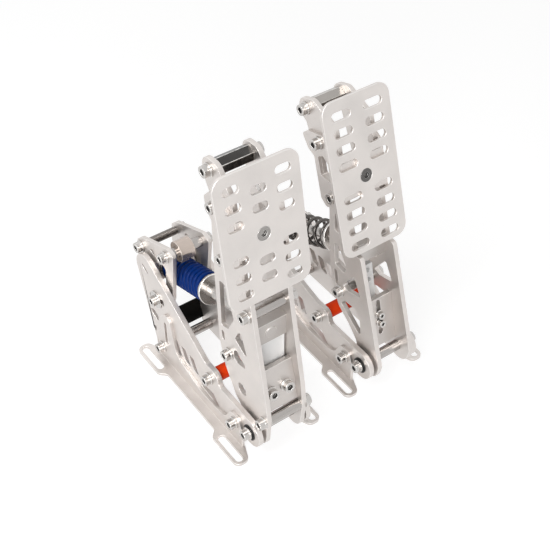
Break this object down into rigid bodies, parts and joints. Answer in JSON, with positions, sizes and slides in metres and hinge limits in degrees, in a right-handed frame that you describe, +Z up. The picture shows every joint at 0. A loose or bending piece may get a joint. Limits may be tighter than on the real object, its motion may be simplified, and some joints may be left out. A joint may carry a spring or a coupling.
{
  "type": "sim racing pedal set",
  "caption": "Metal pedal set for a driving simulator: a sprung brake arm and a sprung throttle arm with slotted foot plates, each in its own plate frame on slotted floor feet.",
  "frame": {"origin": "on the floor, in the middle of the pair's box", "axes": "+Z up, +Y away from the driver, +X to the driver's right, so the brake is at -X and the throttle at +X"},
  "size_m": [0.2206, 0.2108, 0.294],
  "materials": {
    "foot_steel": "satin, bead-blasted",
    "frame_steel": "satin, bead-blasted",
    "carrier_steel": "satin, bead-blasted",
    "arm_steel": "satin, bead-blasted",
    "bracket_steel": "satin, bead-blasted",
    "face_steel": "satin, bead-blasted",
    "cell_plate_steel": "satin, bead-blasted",
    "bolt_steel": "bright stainless",
    "rod_steel": "turned, bright",
    "push_rod_steel": "polished",
    "disc_steel": "polished",
    "seat_metal": "milled",
    "block_metal": "milled",
    "cell_metal": "satin anodised",
    "eye_metal": "satin, warm tint",
    "rod_dark": "black oxide thread",
    "bush_black": "matte",
    "panel_black": "matte",
    "sleeve_orange": "smooth",
    "brake_spring": "gloss royal blue",
    "throttle_spring": "dark polished",
    "brake_spacer": "gunmetal",
    "throttle_spacer": "bright",
    "brake_screw": "bright stainless",
    "throttle_screw": "dark"
  },
  "bodies": {
    "base": {"brake_foot_left": "foot_steel", "brake_foot_right": "foot_steel", "brake_frame_left": "frame_steel", "brake_frame_right": "frame_steel", "brake_frame_bolts": "bolt_steel", "brake_pivot_bushes": "bush_black", "brake_frame_rods": "rod_steel", "brake_stop_sleeve": "sleeve_orange", "brake_rear_seat": "seat_metal", "brake_carrier_left": "carrier_steel", "brake_carrier_right": "carrier_steel", "brake_back_rod": "rod_dark", "brake_top_rod": "rod_steel", "brake_rod_eye": "eye_metal", "brake_rear_panel": "panel_black", "throttle_foot_left": "foot_steel", "throttle_foot_right": "foot_steel", "throttle_frame_left": "frame_steel", "throttle_frame_right": "frame_steel", "throttle_frame_bolts": "bolt_steel", "throttle_pivot_bushes": "bush_black", "throttle_frame_rods": "rod_steel", "throttle_stop_sleeve": "sleeve_orange", "throttle_rear_seat": "seat_metal"},
    "brake_arm": {"brake_arm_left": "arm_steel", "brake_arm_right": "arm_steel", "brake_pivot_axle": "rod_steel", "brake_arm_rods": "rod_steel", "brake_top_spacer": "brake_spacer", "brake_arm_bolts": "bolt_steel", "brake_face_bracket": "bracket_steel", "brake_face_plate": "face_steel", "brake_face_screw": "brake_screw", "brake_load_cell": "cell_metal", "brake_cell_plate": "cell_plate_steel"},
    "brake_plunger": {"brake_push_rod": "push_rod_steel", "brake_spring_disc": "disc_steel", "brake_spring": "brake_spring"},
    "throttle_arm": {"throttle_arm_left": "arm_steel", "throttle_arm_right": "arm_steel", "throttle_pivot_axle": "rod_steel", "throttle_arm_rods": "rod_steel", "throttle_top_spacer": "throttle_spacer", "throttle_arm_bolts": "bolt_steel", "throttle_face_bracket": "bracket_steel", "throttle_face_plate": "face_steel", "throttle_face_screw": "throttle_screw", "throttle_push_block": "block_metal", "throttle_sensor_beam": "cell_metal", "throttle_sensor_plate": "cell_plate_steel"},
    "throttle_plunger": {"throttle_push_rod": "push_rod_steel", "throttle_spring_disc": "disc_steel", "throttle_spring": "throttle_spring"}
  },
  "joints": [
    {"name": "brake_press", "type": "hinge", "parent": "base", "child": "brake_arm", "pos_m": [-0.0635, -0.08737, 0.03], "axis": [-1, 0, 0], "range_deg": [0, 5], "stiffness_Nm_per_rad": 120, "springref_deg": -2.86},
    {"name": "brake_plunge", "type": "slide", "parent": "base", "child": "brake_plunger", "axis": [0, 0.9494, -0.314], "range_m": [0, 0.00942], "deforming": ["brake_spring"]},
    {"name": "throttle_press", "type": "hinge", "parent": "base", "child": "throttle_arm", "pos_m": [0.0635, -0.08237, 0.03], "axis": [-1, 0, 0], "range_deg": [0, 14], "stiffness_Nm_per_rad": 14, "springref_deg": -11.46},
    {"name": "throttle_plunge", "type": "slide", "parent": "base", "child": "throttle_plunger", "axis": [0, 0.8949, -0.4462], "range_m": [0, 0.02788], "deforming": ["throttle_spring"]}
  ],
  "couplings": [
    {"joint": "brake_plunge", "follows": "brake_press", "m_per_rad": 0.10787},
    {"joint": "throttle_plunge", "follows": "throttle_press", "m_per_rad": 0.11407}
  ]
}
